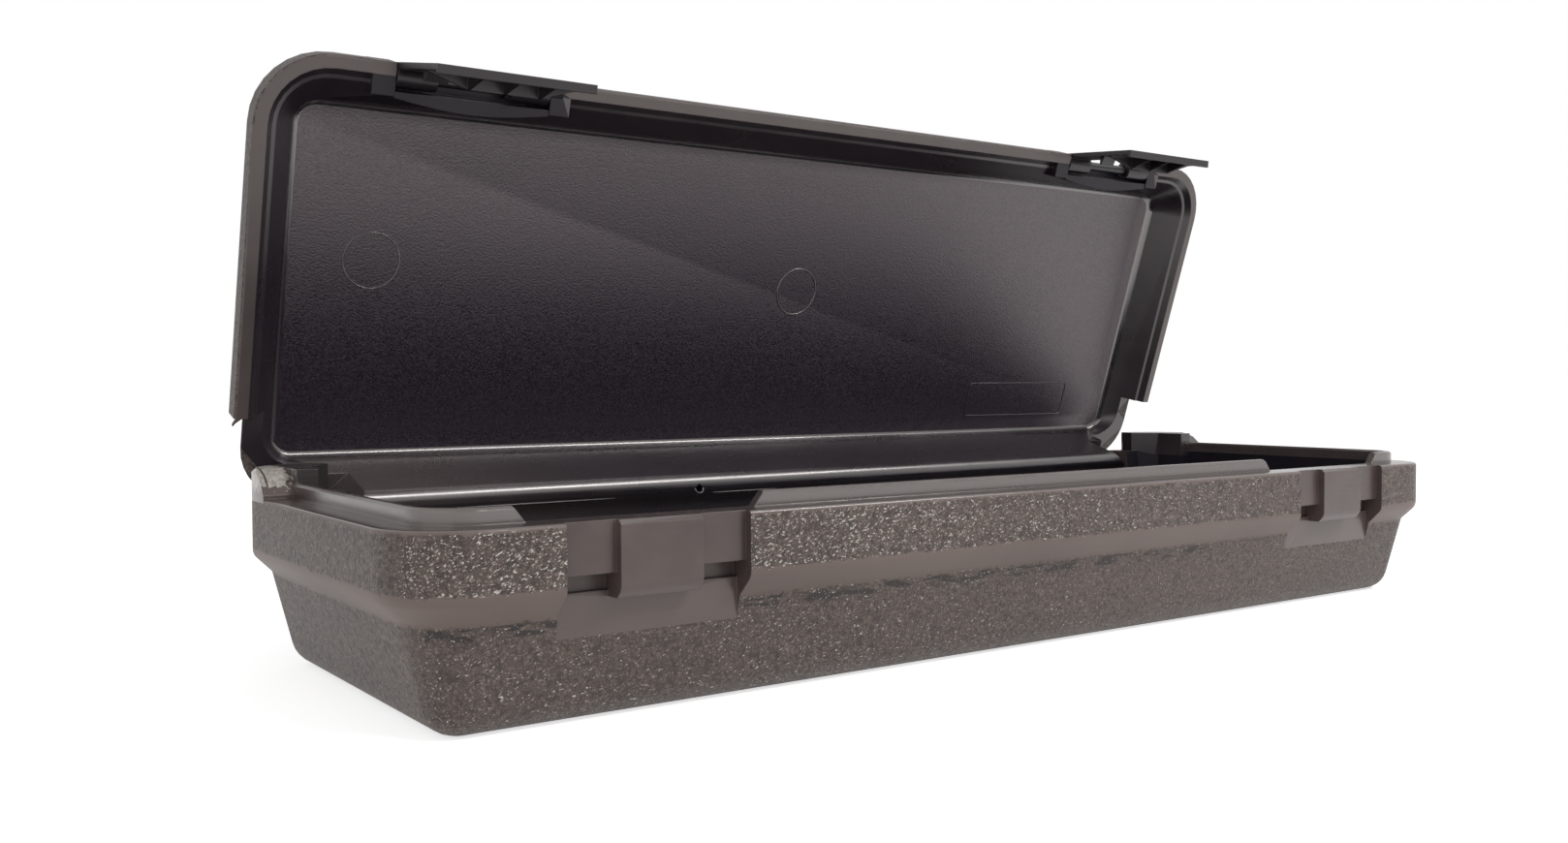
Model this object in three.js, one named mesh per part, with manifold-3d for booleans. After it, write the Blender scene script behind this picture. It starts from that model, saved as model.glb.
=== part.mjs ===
// A long blow moulded case: a hollow base and a hollow lid that turns on two pins at its back,
// held shut by two latches that turn on pins in the lid and snap under catch blocks on the base.
// Millimetres, +Z up. The origin is the centre of the underside, X runs along the case, -Y is its front.
import * as THREE from "three";
import { mergeVertices } from "three/addons/utils/BufferGeometryUtils.js";
import Module from "manifold-3d";

const wasm = await Module();
wasm.setup();

// The whole case
const caseLength = 460;
const caseDepth = 155;
const cornerRadius = 22;
const innerCornerRadius = 24.5;
const skin = 1.8;
const partingGap = 0.4;
const runningGap = 0.5;
const pinGap = 0.3;
const overrun = 5;
const smallestRadius = 3;

// The base, from the floor up
const baseHeight = 55.5;
const baseWallTaper = 0.25;
const bottomRadius = 10;
const baseLedgeBottom = 31.2;
const baseLedgeInset = 5.7;
const baseBandBottom = 38.6;
const ledgeEdgeRadius = 4;
const rimEdgeRadius = 1.2;
const innerFloor = 6;
const innerFloorRadius = 8;
const innerWallTaper = 0.1;
const tongueInset = 9;
const tongueThickness = 3;
const tongueHeight = 4.6;
const tongueEdge = 0.8;
const tongueEndSlope = 3.6;

// The lid, seen shut
const lidBandHeight = 9;
const lidEdgeRadius = 1.5;
const lidHeight = 24.6;
const lidLedgeInset = 6.2;
const lidLedgeRise = 1.6;
const lidWallTaper = 0.16;
const lidTopRadius = 8;
const rimStripWidth = 4.4;
const rimStepWidth = 2;
const rimStepDepth = 3;
const rimLipWidth = 1.4;
const panelInset = 17;
const panelDepth = 18;
const panelEdgeRadius = 2.6;
const lidAirFloor = 11.6;
const lidBackStep = 1;

// The hinge
const hingeHeight = 43.9;
const barRadius = 8;
const barFromEnd = 33.5;
const knuckleFromEnd = 9;
const lidBackWall = 13.2;
const webShoulder = 12;
const webBottom = 34;
const webEdgeRadius = 5;
const webEndSlant = 6;
const hingePinRadius = 2.5;
const hingePinReach = 20;
const hingePinFromEnd = 12;
const blowHoleRadius = 1.7;
const blowHoleFromCentre = 57.8;

// The corner posts, which fill the notches in the lid's rear corners
const postHeight = 9;
const postFrontFromBack = 33;
const postFrontWidth = 17;
const postWaistWidth = 18.5;
const postWaistFromBack = 20;
const postBackWidth = 27;
const postShoulderFromBack = 10;
const postRearCorner = 4;
const postShoulderReach = 14;
const postShoulderShares = [
  [-0.05, 0],
  [0.18, 0.42],
  [0.41, 0.72],
  [0.67, 0.88],
  [1.05, 1.04],
];
const notchFromBack = 33.7;
const notchWidth = 29;

// The latches and their catches
const latchFromEnd = 71.2;
const recessWidth = 56.8;
const catchPanelDepth = 2.6;
const catchBlockWidth = 25.6;
const catchBlockBottom = 34.5;
const channelTop = 41.4;
const channelBottom = 36.3;
const channelDepth = 9;
const apronDepth = 7.4;
const apronBottom = 20;
const bayWidth = 55.2;
const bayDepth = 9.3;
const earWidth = 7.6;
const earDepth = 11;
const latchSideGap = 0.4;
const latchLength = 38.5;
const latchPlate = 2;
const latchInsetFromFace = 0.2;
const latchPivotInset = 4.5;
const latchPivotRise = 4;
const knuckleRadius = 4;
const latchPinRadius = 2;
const windowGap = 0.5;
const hookWallThickness = 1.6;
const hookReach = 4.6;
const barbReach = 3.4;
const barbHeight = 2.6;
const barbWidth = 8;
const ribCount = 3;
const ribThickness = 1;
const ribPitch = 12.3;
const lipThickness = 3;
const lipWidth = 1.6;
const cheekSlope = 15;
const bulgeEnd = 2.2;
const bulgeMiddle = 5;
const bulgeDepth = 15;

// Where the case was left: lid leaning forward, latches standing out
const lidOpenAngle = THREE.MathUtils.degToRad(72.6);
const latchOpenAngles = { left: THREE.MathUtils.degToRad(6), right: THREE.MathUtils.degToRad(12) };
const blowHoleRise = THREE.MathUtils.degToRad(24);

// How finely round shapes are cut
const cornerSteps = 8;
const edgeSteps = 6;
const filletSteps = 6;
const pinSides = 24;
const barSides = 40;
const blowHoleSides = 4;
const arcSteps = 12;

// Worked out from the sizes above
const halfLength = caseLength / 2;
const halfDepth = caseDepth / 2;
const latchFromCentre = halfLength - latchFromEnd;
const latchWidth = bayWidth - 2 * latchSideGap;
const hingeY = halfDepth;
const latchPivotY = -halfDepth + latchPivotInset;
const latchPivotZ = baseHeight + latchPivotRise;
const cavityInset = tongueInset + tongueThickness;
const lidStep = baseHeight + lidBandHeight;
const lidTop = baseHeight + lidHeight;
const lidSeat = baseHeight + partingGap;
const tongueTop = baseHeight + tongueHeight;
const panelLevel = baseHeight + panelDepth;
const postTop = baseHeight + postHeight;
const backWallTop = webBottom - runningGap;
const barLength = caseLength - 2 * barFromEnd;
const latchSides = { left: -1, right: 1 };

// A geometry as a solid: only positions are kept, and shared corners are merged.
function solidOf(geometry) {
  geometry.deleteAttribute("normal");
  geometry.deleteAttribute("uv");
  const merged = mergeVertices(geometry);
  return new wasm.Manifold(
    new wasm.Mesh({
      numProp: 3,
      vertProperties: new Float32Array(merged.attributes.position.array),
      triVerts: new Uint32Array(merged.index.array),
    }),
  );
}

function geometryOf(solid) {
  const mesh = solid.getMesh();
  const geometry = new THREE.BufferGeometry();
  geometry.setAttribute("position", new THREE.BufferAttribute(new Float32Array(mesh.vertProperties), 3));
  geometry.setIndex(new THREE.BufferAttribute(new Uint32Array(mesh.triVerts), 1));
  geometry.computeVertexNormals();
  return geometry;
}

const join = (...solids) => solids.reduce((all, solid) => all.add(solid));
const cut = (solid, ...tools) => tools.reduce((rest, tool) => rest.subtract(tool), solid);

// A block between two corners.
function block(low, high) {
  const size = high.map((value, i) => value - low[i]);
  const geometry = new THREE.BoxGeometry(...size);
  geometry.translate(...low.map((value, i) => value + size[i] / 2));
  return solidOf(geometry);
}

// A round bar along X, from one X to another, about a line at y and z.
function barAlongX(fromX, toX, y, z, radius, sides) {
  const geometry = new THREE.CylinderGeometry(radius, radius, toX - fromX, sides);
  geometry.rotateZ(Math.PI / 2);
  geometry.translate((fromX + toX) / 2, y, z);
  return solidOf(geometry);
}

// A round bar along Z.
function barAlongZ(x, y, fromZ, toZ, radius, sides) {
  const geometry = new THREE.CylinderGeometry(radius, radius, toZ - fromZ, sides);
  geometry.rotateX(Math.PI / 2);
  geometry.translate(x, y, (fromZ + toZ) / 2);
  return solidOf(geometry);
}

// A flat outline of [x, y] points, raised from one Z to another.
function raised(outline, fromZ, toZ) {
  const shape = new THREE.Shape(outline.map(([x, y]) => new THREE.Vector2(x, y)));
  const geometry = new THREE.ExtrudeGeometry(shape, { depth: toZ - fromZ, bevelEnabled: false });
  geometry.translate(0, 0, fromZ);
  return solidOf(geometry);
}

// An outline of [y, z] points, drawn out along X.
function drawnAlongX(outline, fromX, toX) {
  const shape = new THREE.Shape(outline.map(([y, z]) => new THREE.Vector2(y, z)));
  const geometry = new THREE.ExtrudeGeometry(shape, { depth: toX - fromX, bevelEnabled: false });
  geometry.rotateX(Math.PI / 2);
  geometry.rotateZ(Math.PI / 2);
  geometry.translate(fromX, 0, 0);
  return solidOf(geometry);
}

const mirrored = (solid) => solid.mirror([1, 0, 0]);

// One level of the case's outline: a rectangle drawn in by inset on all sides, or by back at the back.
function ring({ inset, z, back = inset, corner = cornerRadius }) {
  const radius = Math.max(corner - inset, smallestRadius);
  const x = halfLength - inset - radius;
  const front = -halfDepth + inset + radius;
  const rear = halfDepth - back - radius;
  const corners = [
    [x, rear, 0],
    [-x, rear, 1],
    [-x, front, 2],
    [x, front, 3],
  ];
  return corners.flatMap(([cx, cy, quarter]) =>
    Array.from({ length: cornerSteps + 1 }, (_, i) => {
      const angle = (quarter + i / cornerSteps) * (Math.PI / 2);
      return [cx + radius * Math.cos(angle), cy + radius * Math.sin(angle), z];
    }),
  );
}

// A closed solid through levels given from the bottom up.
function loft(levels) {
  const rings = levels.map(ring);
  const count = rings[0].length;
  const last = (rings.length - 1) * count;
  const triangles = [];
  for (let level = 0; level < rings.length - 1; level++)
    for (let i = 0; i < count; i++) {
      const a = level * count + i;
      const b = level * count + ((i + 1) % count);
      triangles.push(a, b, b + count, a, b + count, a + count);
    }
  for (let i = 1; i < count - 1; i++) triangles.push(0, i + 1, i, last, last + i, last + i + 1);
  const geometry = new THREE.BufferGeometry();
  geometry.setAttribute("position", new THREE.Float32BufferAttribute(rings.flat(2), 3));
  geometry.setIndex(triangles);
  return solidOf(geometry);
}

// The lid, the tongue and the cavity have rounder corners than the base's outside.
const rounder = (levels) => levels.map((level) => ({ ...level, corner: innerCornerRadius }));

// Levels along an arc in the section of the wall: the angle is 0 towards the case's middle and 90 degrees up.
function arc(inset, z, radius, fromAngle, toAngle, steps) {
  return Array.from({ length: steps + 1 }, (_, i) => {
    const angle = THREE.MathUtils.degToRad(fromAngle + ((toAngle - fromAngle) * i) / steps);
    return { inset: inset + radius * Math.cos(angle), z: z + radius * Math.sin(angle) };
  });
}

// A rounded foot below a wall that leans out: the wall's inset at height z is wallInset(z).
function foot(wallInset, floor, radius, taper) {
  const lean = Math.atan(taper);
  const tangentZ = floor + radius - radius * Math.sin(lean);
  const centre = wallInset(tangentZ) + radius * Math.cos(lean);
  return arc(centre, floor + radius, radius, 270, 180 + THREE.MathUtils.radToDeg(lean), filletSteps);
}

const baseWallInset = (z) => baseLedgeInset + (baseLedgeBottom - z) * baseWallTaper;
const cavityWallInset = (z) => cavityInset + (baseHeight - z) * innerWallTaper;

// Sections of the base

// The base's outer form, or with a margin the form that lies that deep under its surface.
function baseForm(margin) {
  const rim = baseHeight - rimEdgeRadius - margin;
  return loft([
    ...foot((z) => baseWallInset(z) + margin, margin, bottomRadius, baseWallTaper),
    { inset: baseLedgeInset + margin, z: baseLedgeBottom },
    ...arc(ledgeEdgeRadius + margin, baseBandBottom, ledgeEdgeRadius, 225, 180, edgeSteps),
    ...arc(rimEdgeRadius + margin, rim, rimEdgeRadius, 180, 90, edgeSteps),
  ]);
}

function baseCavity() {
  return loft(
    rounder([
      ...foot(cavityWallInset, innerFloor, innerFloorRadius, innerWallTaper),
      { inset: cavityInset, z: baseHeight },
      { inset: cavityInset, z: tongueTop - tongueEdge },
      { inset: cavityInset - tongueEdge, z: tongueTop },
      { inset: cavityInset - tongueEdge, z: tongueTop + overrun },
    ]),
  );
}

// The tongue runs round the rim from post to post.
function tongue() {
  const ringOfTongue = loft(
    rounder([
      { inset: tongueInset, z: baseHeight - overrun },
      { inset: tongueInset, z: tongueTop - tongueEdge },
      { inset: tongueInset + tongueEdge, z: tongueTop },
    ]),
  );
  const betweenPosts = halfLength - postBackWidth + skin;
  const back = block(
    [-betweenPosts, halfDepth - cavityInset - overrun, baseHeight],
    [betweenPosts, halfDepth, tongueTop + overrun],
  );
  return cut(ringOfTongue, back, ...Object.values(latchSides).map(tongueGap));
}

// The tongue stops with slanted ends where the lid's ears and bay come down.
function tongueGap(side) {
  const centre = side * latchFromCentre;
  const half = bayWidth / 2 + earWidth + partingGap;
  const flare = tongueEndSlope * (1 + overrun / tongueHeight);
  const outline = [
    [centre - half, baseHeight],
    [centre + half, baseHeight],
    [centre + half + flare, tongueTop + overrun],
    [centre - half - flare, tongueTop + overrun],
  ];
  const shape = new THREE.Shape(outline.map(([x, z]) => new THREE.Vector2(x, z)));
  const depth = cavityInset + overrun;
  const geometry = new THREE.ExtrudeGeometry(shape, { depth, bevelEnabled: false });
  geometry.rotateX(Math.PI / 2);
  geometry.translate(0, -halfDepth + depth, 0);
  return solidOf(geometry);
}

// A rear corner post: it stands on the case's outline and fills the corner that the lid leaves open.
function postOutline(inside) {
  const outer = -halfLength + inside;
  const rear = halfDepth - inside;
  const inner = -halfLength - inside;
  const front = halfDepth - postFrontFromBack + inside;
  return [
    [outer, front],
    [inner + postFrontWidth, front],
    [inner + postWaistWidth, halfDepth - postWaistFromBack + inside],
    [inner + postBackWidth, halfDepth - postShoulderFromBack + inside],
    [inner + postBackWidth, rear - postRearCorner],
    [inner + postBackWidth - postRearCorner, rear],
    [outer, rear],
  ];
}

// What the post's rounded front shoulder leaves free above the rim.
function postFrontCut(inside) {
  const start = halfDepth - postFrontFromBack + inside;
  const foot = baseHeight + partingGap;
  const shoulder = postShoulderShares.map(([along, up]) => [
    start + along * postShoulderReach,
    foot + up * postHeight - inside,
  ]);
  const top = postTop + overrun;
  const [endY] = shoulder.at(-1);
  return drawnAlongX(
    [[start - 2 * overrun, foot - inside], ...shoulder, [endY, top], [start - 2 * overrun, top]],
    -halfLength - overrun,
    -halfLength + postBackWidth + overrun,
  );
}

function cornerPost() {
  const outline = loft([
    { inset: 0, z: baseLedgeBottom },
    { inset: 0, z: postTop - rimEdgeRadius },
    { inset: rimEdgeRadius, z: postTop },
  ]);
  const above = cut(raised(postOutline(0), baseHeight - skin, postTop).intersect(outline), postFrontCut(0));
  const insideWall = join(
    baseForm(skin / 2),
    loft([
      { inset: cavityInset - skin, z: baseHeight - 2 * skin },
      { inset: cavityInset - skin, z: postTop },
    ]),
  );
  const below = raised(postOutline(0), innerFloor - skin, postTop).intersect(insideWall);
  return join(above, below);
}

function baseKnuckle() {
  const fromX = -halfLength + knuckleFromEnd;
  const toX = -halfLength + barFromEnd - runningGap;
  const barrel = barAlongX(fromX, toX, hingeY, hingeHeight, barRadius, barSides);
  const root = drawnAlongX(
    [
      [halfDepth - cavityInset, hingeHeight - barRadius],
      [hingeY, hingeHeight - barRadius],
      [hingeY, hingeHeight + barRadius],
      [halfDepth - rimEdgeRadius, baseHeight],
      [halfDepth - cavityInset, baseHeight],
    ],
    fromX + cornerRadius / 2,
    toX,
  );
  return join(barrel, root);
}

// What the lid's hinge bar needs clear of the base: there is no back wall beside it.
function barRoom(margin) {
  const from = -halfLength + barFromEnd - margin;
  return block(
    [from, halfDepth - cavityInset - overrun, backWallTop - margin],
    [-from, hingeY + barRadius + overrun, tongueTop + overrun],
  );
}

function pinHole(side) {
  const outer = -halfLength + hingePinFromEnd - overrun - hingePinRadius;
  const inner = -halfLength + barFromEnd + hingePinReach + runningGap;
  const hole = barAlongX(outer, inner, hingeY, hingeHeight, hingePinRadius + pinGap, pinSides);
  return side < 0 ? hole : mirrored(hole);
}

// The recess on the front for one latch: two catch panels with channels under them, beside a catch block.
function latchRecess(side) {
  const centre = side * latchFromCentre;
  const left = centre - recessWidth / 2;
  const right = centre + recessWidth / 2;
  const front = -halfDepth;
  const panels = block([left, front - overrun, channelBottom], [right, front + catchPanelDepth, baseHeight + overrun]);
  const channels = block([left, front - overrun, channelBottom], [right, front + channelDepth, channelTop]);
  const apron = block([left, front - overrun, apronBottom], [right, front + apronDepth, channelBottom + skin]);
  const catchBlock = drawnAlongX(
    [
      [front, catchBlockBottom],
      [front + channelDepth + skin, catchBlockBottom],
      [front + channelDepth + skin, baseHeight + 2 * overrun],
      [front + rimEdgeRadius, baseHeight + 2 * overrun],
      [front + rimEdgeRadius, baseHeight],
      [front, baseHeight - rimEdgeRadius],
    ],
    centre - catchBlockWidth / 2,
    centre + catchBlockWidth / 2,
  );
  return cut(join(panels, channels, apron), catchBlock);
}

// The air between the base's two walls. It stops where the walls are pinched together.
function baseAir() {
  const innerWall = loft(
    rounder([
      ...foot((z) => cavityWallInset(z) - skin, innerFloor - skin, innerFloorRadius, innerWallTaper),
      { inset: cavityInset - skin, z: baseHeight },
    ]),
  );
  const pinched = Object.values(latchSides).map((side) =>
    block(
      [side * latchFromCentre - recessWidth / 2 - skin, -halfDepth - overrun, apronBottom - skin],
      [side * latchFromCentre + recessWidth / 2 + skin, -halfDepth + cavityInset + overrun, baseHeight],
    ),
  );
  const underSkin = join(
    baseForm(skin),
    loft([
      { inset: skin + rimEdgeRadius, z: baseHeight - 3 * skin },
      { inset: skin + rimEdgeRadius, z: postTop },
    ]),
  );
  const overRim = block(
    [-halfLength - overrun, -halfDepth - overrun, baseHeight - 2 * skin],
    [halfLength + overrun, halfDepth + overrun, postTop + overrun],
  );
  const postRoom = cut(raised(postOutline(skin), innerFloor + skin, postTop - skin), postFrontCut(skin));
  const blocked = cut(join(innerWall, overRim), postRoom, mirrored(postRoom));
  const fromX = -halfLength + knuckleFromEnd - skin;
  const toX = -halfLength + barFromEnd + skin;
  const solidKnuckle = barAlongX(fromX, toX, hingeY, hingeHeight, barRadius, barSides);
  return cut(underSkin, blocked, ...pinched, barRoom(skin), solidKnuckle, mirrored(solidKnuckle));
}

function blowHoleOfBase() {
  const y = halfDepth - cavityInset / 2;
  return barAlongZ(blowHoleFromCentre, y, innerFloor + skin, backWallTop + overrun, blowHoleRadius, blowHoleSides);
}

function baseShell() {
  const hollow = cut(join(baseForm(0), tongue()), baseCavity());
  const room = barRoom(0);
  const open = cut(hollow, room);
  const post = cornerPost();
  const knuckle = baseKnuckle();
  const full = join(open, post, mirrored(post), knuckle, mirrored(knuckle));
  return cut(
    full,
    ...Object.values(latchSides).map(latchRecess),
    baseAir(),
    blowHoleOfBase(),
    pinHole(-1),
    pinHole(1),
  );
}

// Sections of the lid, modelled shut

// The lid's ledge fades out at its back, so that the wall above the hinge bar has room for air.
function fullBack(levels) {
  const shift = lidLedgeInset - lidBackStep;
  return rounder(levels).map((level) => {
    const back = Math.max(Math.min(level.inset, lidBackStep), level.inset - shift);
    return { ...level, back };
  });
}

function lidOutside() {
  const wallInset = (z) => lidLedgeInset + (z - lidStep) * lidWallTaper;
  const lean = THREE.MathUtils.radToDeg(Math.atan(lidWallTaper));
  const roundTop = lidTop - lidTopRadius;
  return loft(
    fullBack([
      { inset: rimEdgeRadius / 2, z: lidSeat },
      { inset: 0, z: lidSeat + rimEdgeRadius / 2 },
      ...arc(lidEdgeRadius, lidStep - lidEdgeRadius, lidEdgeRadius, 180, 90, edgeSteps),
      { inset: lidLedgeInset - lidLedgeRise, z: lidStep },
      { inset: lidLedgeInset, z: lidStep + lidLedgeRise },
      ...arc(wallInset(roundTop) + lidTopRadius, roundTop, lidTopRadius, 180 - lean, 90, filletSteps),
    ]),
  );
}

// The lid's inside: a flat rim strip, a step down to a lip, a slanted wall and the panel.
function lidCavity(margin) {
  const lip = rimStripWidth + rimStepWidth;
  const wallTop = panelLevel - panelEdgeRadius;
  const levels = [
    { inset: rimStripWidth, z: baseHeight - overrun },
    { inset: rimStripWidth, z: lidSeat },
    { inset: lip, z: baseHeight + rimStepDepth },
    { inset: lip + rimLipWidth, z: baseHeight + rimStepDepth + partingGap },
    { inset: panelInset - panelEdgeRadius / 2, z: wallTop },
    { inset: panelInset + panelEdgeRadius / 2, z: panelLevel - panelEdgeRadius / 4 },
    { inset: panelInset + 2 * panelEdgeRadius, z: panelLevel },
  ];
  return loft(
    rounder(levels).map(({ inset, z, corner }, i) => {
      const behind = lidBackWall + Math.max(0, inset - panelInset + panelEdgeRadius / 2);
      const up = i > 1 ? margin : 0;
      return { inset: inset - margin, back: behind - margin, z: z + up, corner };
    }),
  );
}

// The front of the web, from its top down and round its lower edge into the hinge bar.
function webFront(margin, top) {
  const face = halfDepth - lidBackWall + margin;
  const radius = webEdgeRadius - margin;
  const edge = Array.from({ length: edgeSteps + 1 }, (_, i) => {
    const angle = ((2 + i / edgeSteps) * Math.PI) / 2;
    return [face + radius + radius * Math.cos(angle), webBottom + webEdgeRadius + radius * Math.sin(angle)];
  });
  return [[face, top], ...edge, [hingeY, hingeHeight - barRadius + margin + skin / 2]];
}

// The hinge bar and the web that carries the lid on it.
function hingeBar() {
  const half = barLength / 2;
  const bar = barAlongX(-half, half, hingeY, hingeHeight, barRadius, barSides);
  const slant = barRadius * Math.SQRT1_2;
  const top = baseHeight + webShoulder;
  const web = drawnAlongX(
    [...webFront(0, top), [hingeY + slant, hingeHeight + slant], [halfDepth - rimEdgeRadius, top]],
    -half,
    half,
  );
  return join(bar, web.intersect(webPlan(half, top)));
}

// The web's outline from above: its front corners are cut off at a slant.
function webPlan(half, top) {
  const face = halfDepth - lidBackWall;
  const rear = hingeY + barRadius + overrun;
  const slantTo = half - webEndSlant - overrun;
  const outline = [
    [-half, rear],
    [-half, face + webEndSlant],
    [-slantTo, face - overrun],
    [slantTo, face - overrun],
    [half, face + webEndSlant],
    [half, rear],
  ];
  return raised(outline, hingeHeight - 2 * barRadius, top + overrun);
}

// The rear corners of the band are left out for the base's posts.
function cornerNotch(margin) {
  return block(
    [-halfLength - overrun, halfDepth - notchFromBack - margin, baseHeight - overrun],
    [-halfLength + notchWidth + margin, halfDepth + overrun, lidStep + runningGap / 2 + margin],
  );
}

const bayLeft = (side) => side * latchFromCentre - bayWidth / 2;

// Two pads beside a latch close the rim's groove and hold the latch's pin.
function ears(side) {
  const left = bayLeft(side);
  const pad = (fromX) =>
    block([fromX, -halfDepth, lidSeat], [fromX + earWidth, -halfDepth + earDepth, lidStep]);
  return join(pad(left - earWidth), pad(left + bayWidth));
}

function latchBay(side, margin) {
  const left = bayLeft(side);
  return block(
    [left - margin, -halfDepth - overrun, baseHeight - overrun],
    [left + bayWidth + margin, -halfDepth + bayDepth + margin, lidStep + runningGap + margin],
  );
}

// The wall behind the bay bows into the lid.
function bayBulge(side) {
  const left = bayLeft(side);
  const back = -halfDepth + bayDepth;
  const bow = Array.from({ length: arcSteps + 1 }, (_, i) => {
    const t = i / arcSteps;
    const depth = bulgeEnd + (bulgeMiddle - bulgeEnd) * Math.sin(Math.PI * t);
    return [left + bayWidth * (1 - t), back + depth];
  });
  const outline = [[left, back - skin], [left + bayWidth, back - skin], ...bow];
  return raised(outline, lidSeat + partingGap, baseHeight + bulgeDepth);
}

function latchPinHole(side) {
  const from = bayLeft(side) - earWidth + skin;
  const to = bayLeft(side) + bayWidth + earWidth - skin;
  return barAlongX(from, to, latchPivotY, latchPivotZ, latchPinRadius + pinGap, pinSides);
}

// The air between the lid's two walls, which runs down into the hinge bar.
function lidAir() {
  const wallInset = (z) => lidLedgeInset + skin + (z - lidStep) * lidWallTaper;
  const floor = baseHeight + lidAirFloor;
  const inside = loft(
    fullBack([
      { inset: wallInset(floor), z: floor },
      { inset: wallInset(lidTop - lidTopRadius), z: lidTop - lidTopRadius },
      { inset: wallInset(lidTop) + lidTopRadius / 2, z: lidTop - skin },
    ]),
  );
  const half = barLength / 2 - hingePinReach - skin - runningGap;
  const barAir = barAlongX(-half, half, hingeY, hingeHeight, barRadius - skin, barSides);
  const back = halfDepth - lidBackStep - skin;
  const neck = drawnAlongX(
    [...webFront(skin, floor + skin), [back, hingeHeight], [back, floor + skin]],
    -half,
    half,
  );
  const bays = Object.values(latchSides).flatMap((side) => [latchBay(side, skin), bayBulge(side)]);
  const air = join(cut(inside, lidCavity(skin)), barAir, neck);
  return cut(air, cornerNotch(skin), mirrored(cornerNotch(skin)), ...bays);
}

// The hole left by the blow pin faces the front, a little upwards, when the lid is open.
function blowHoleOfLid() {
  const length = lidBackWall + overrun;
  const geometry = new THREE.CylinderGeometry(blowHoleRadius, blowHoleRadius, length, blowHoleSides);
  geometry.translate(0, -length / 2, 0);
  geometry.rotateX(lidOpenAngle - blowHoleRise);
  geometry.translate(-blowHoleFromCentre, hingeY, hingeHeight);
  return solidOf(geometry);
}

function lidShell() {
  const bays = Object.values(latchSides);
  const shell = cut(lidOutside(), lidCavity(0));
  const full = join(shell, hingeBar(), ...bays.map(ears), ...bays.map(bayBulge));
  return cut(
    full,
    cornerNotch(0),
    mirrored(cornerNotch(0)),
    ...bays.map((side) => latchBay(side, 0)),
    ...bays.map(latchPinHole),
    lidAir(),
    blowHoleOfLid(),
    pinHole(-1),
    pinHole(1),
  );
}

// A latch, hanging from its pivot at the origin: -Z is towards its free edge and -Y is outwards.

function latch() {
  const half = latchWidth / 2;
  const outer = latchInsetFromFace - latchPivotInset;
  const inner = outer + latchPlate;
  const free = -latchLength;
  const windowHalf = catchBlockWidth / 2 + windowGap;
  const hookTop = catchBlockBottom - windowGap - latchPivotZ;
  const plate = block([-half, outer, free], [half, inner, 0]);
  const lip = block([-half, outer, free], [half, outer + lipThickness, free + lipWidth]);
  const knuckles = barAlongX(-half, half, 0, 0, knuckleRadius, pinSides);
  const window = block([-windowHalf, outer - overrun, hookTop], [windowHalf, knuckleRadius + overrun, knuckleRadius + overrun]);
  const pin = barAlongX(-half - overrun, half + overrun, 0, 0, latchPinRadius + pinGap, pinSides);
  const body = cut(join(plate, lip, knuckles), window, pin);
  return join(body, hookWall(half, inner, hookTop), ...ribs(inner, hookTop, free), ...barbs(windowHalf, half, inner));
}

// The wall that snaps under the catch block: deep in the middle, with ends that slope up to the plate.
function hookWall(half, inner, hookTop) {
  const deep = inner + hookReach;
  const outline = [
    [-half, inner - latchPlate / 2],
    [half, inner - latchPlate / 2],
    [half, inner],
    [half - cheekSlope, deep],
    [cheekSlope - half, deep],
    [-half, inner],
  ];
  return raised(outline, hookTop - hookWallThickness, hookTop);
}

function ribs(inner, hookTop, free) {
  const outline = [
    [inner - latchPlate / 2, free + lipWidth / 2],
    [inner - latchPlate / 2, hookTop - hookWallThickness / 2],
    [inner + hookReach, hookTop - hookWallThickness / 2],
    [inner + hookReach, hookTop - hookWallThickness],
    [inner + lipThickness - latchPlate, free + lipWidth / 2],
  ];
  return Array.from({ length: ribCount }, (_, i) => {
    const x = (i - (ribCount - 1) / 2) * ribPitch;
    return drawnAlongX(outline.map(([y, z]) => [y, z]).reverse(), x - ribThickness / 2, x + ribThickness / 2);
  });
}

// Small barbs on the arms that snap into the channels under the catch panels.
function barbs(windowHalf, half, inner) {
  const top = channelTop - windowGap - latchPivotZ;
  const middle = (windowHalf + half) / 2;
  const outline = [
    [inner - latchPlate / 2, top],
    [inner + barbReach, top],
    [inner + barbReach, top - barbHeight / 3],
    [inner, top - barbHeight],
    [inner - latchPlate / 2, top - barbHeight],
  ];
  return Object.values(latchSides).map((side) =>
    drawnAlongX([...outline].reverse(), side * middle - barbWidth / 2, side * middle + barbWidth / 2),
  );
}

function latchPin() {
  const half = bayWidth / 2 + earWidth - skin - runningGap;
  return barAlongX(-half, half, 0, 0, latchPinRadius, pinSides);
}

function hingePin(side) {
  const outer = -halfLength + hingePinFromEnd;
  const inner = -halfLength + barFromEnd + hingePinReach;
  const pin = barAlongX(outer, inner, hingeY, hingeHeight, hingePinRadius, pinSides);
  return side < 0 ? pin : mirrored(pin);
}

// Materials

const plastic = new THREE.MeshStandardMaterial({ color: 0x4a4441, roughness: 0.55, metalness: 0 });
const latchPlastic = new THREE.MeshStandardMaterial({ color: 0x3d3836, roughness: 0.5, metalness: 0 });
const steel = new THREE.MeshStandardMaterial({ color: 0x3a3a3c, roughness: 0.4, metalness: 0.8 });

function mesh(name, solid, material) {
  const made = new THREE.Mesh(geometryOf(solid), material);
  made.name = name;
  return made;
}

// The assembly

const blowMoldedCase = new THREE.Group();
blowMoldedCase.add(mesh("base_shell", baseShell(), plastic));
for (const [name, side] of Object.entries(latchSides))
  blowMoldedCase.add(mesh(`hinge_pin_${name}`, hingePin(side), steel));

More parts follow.
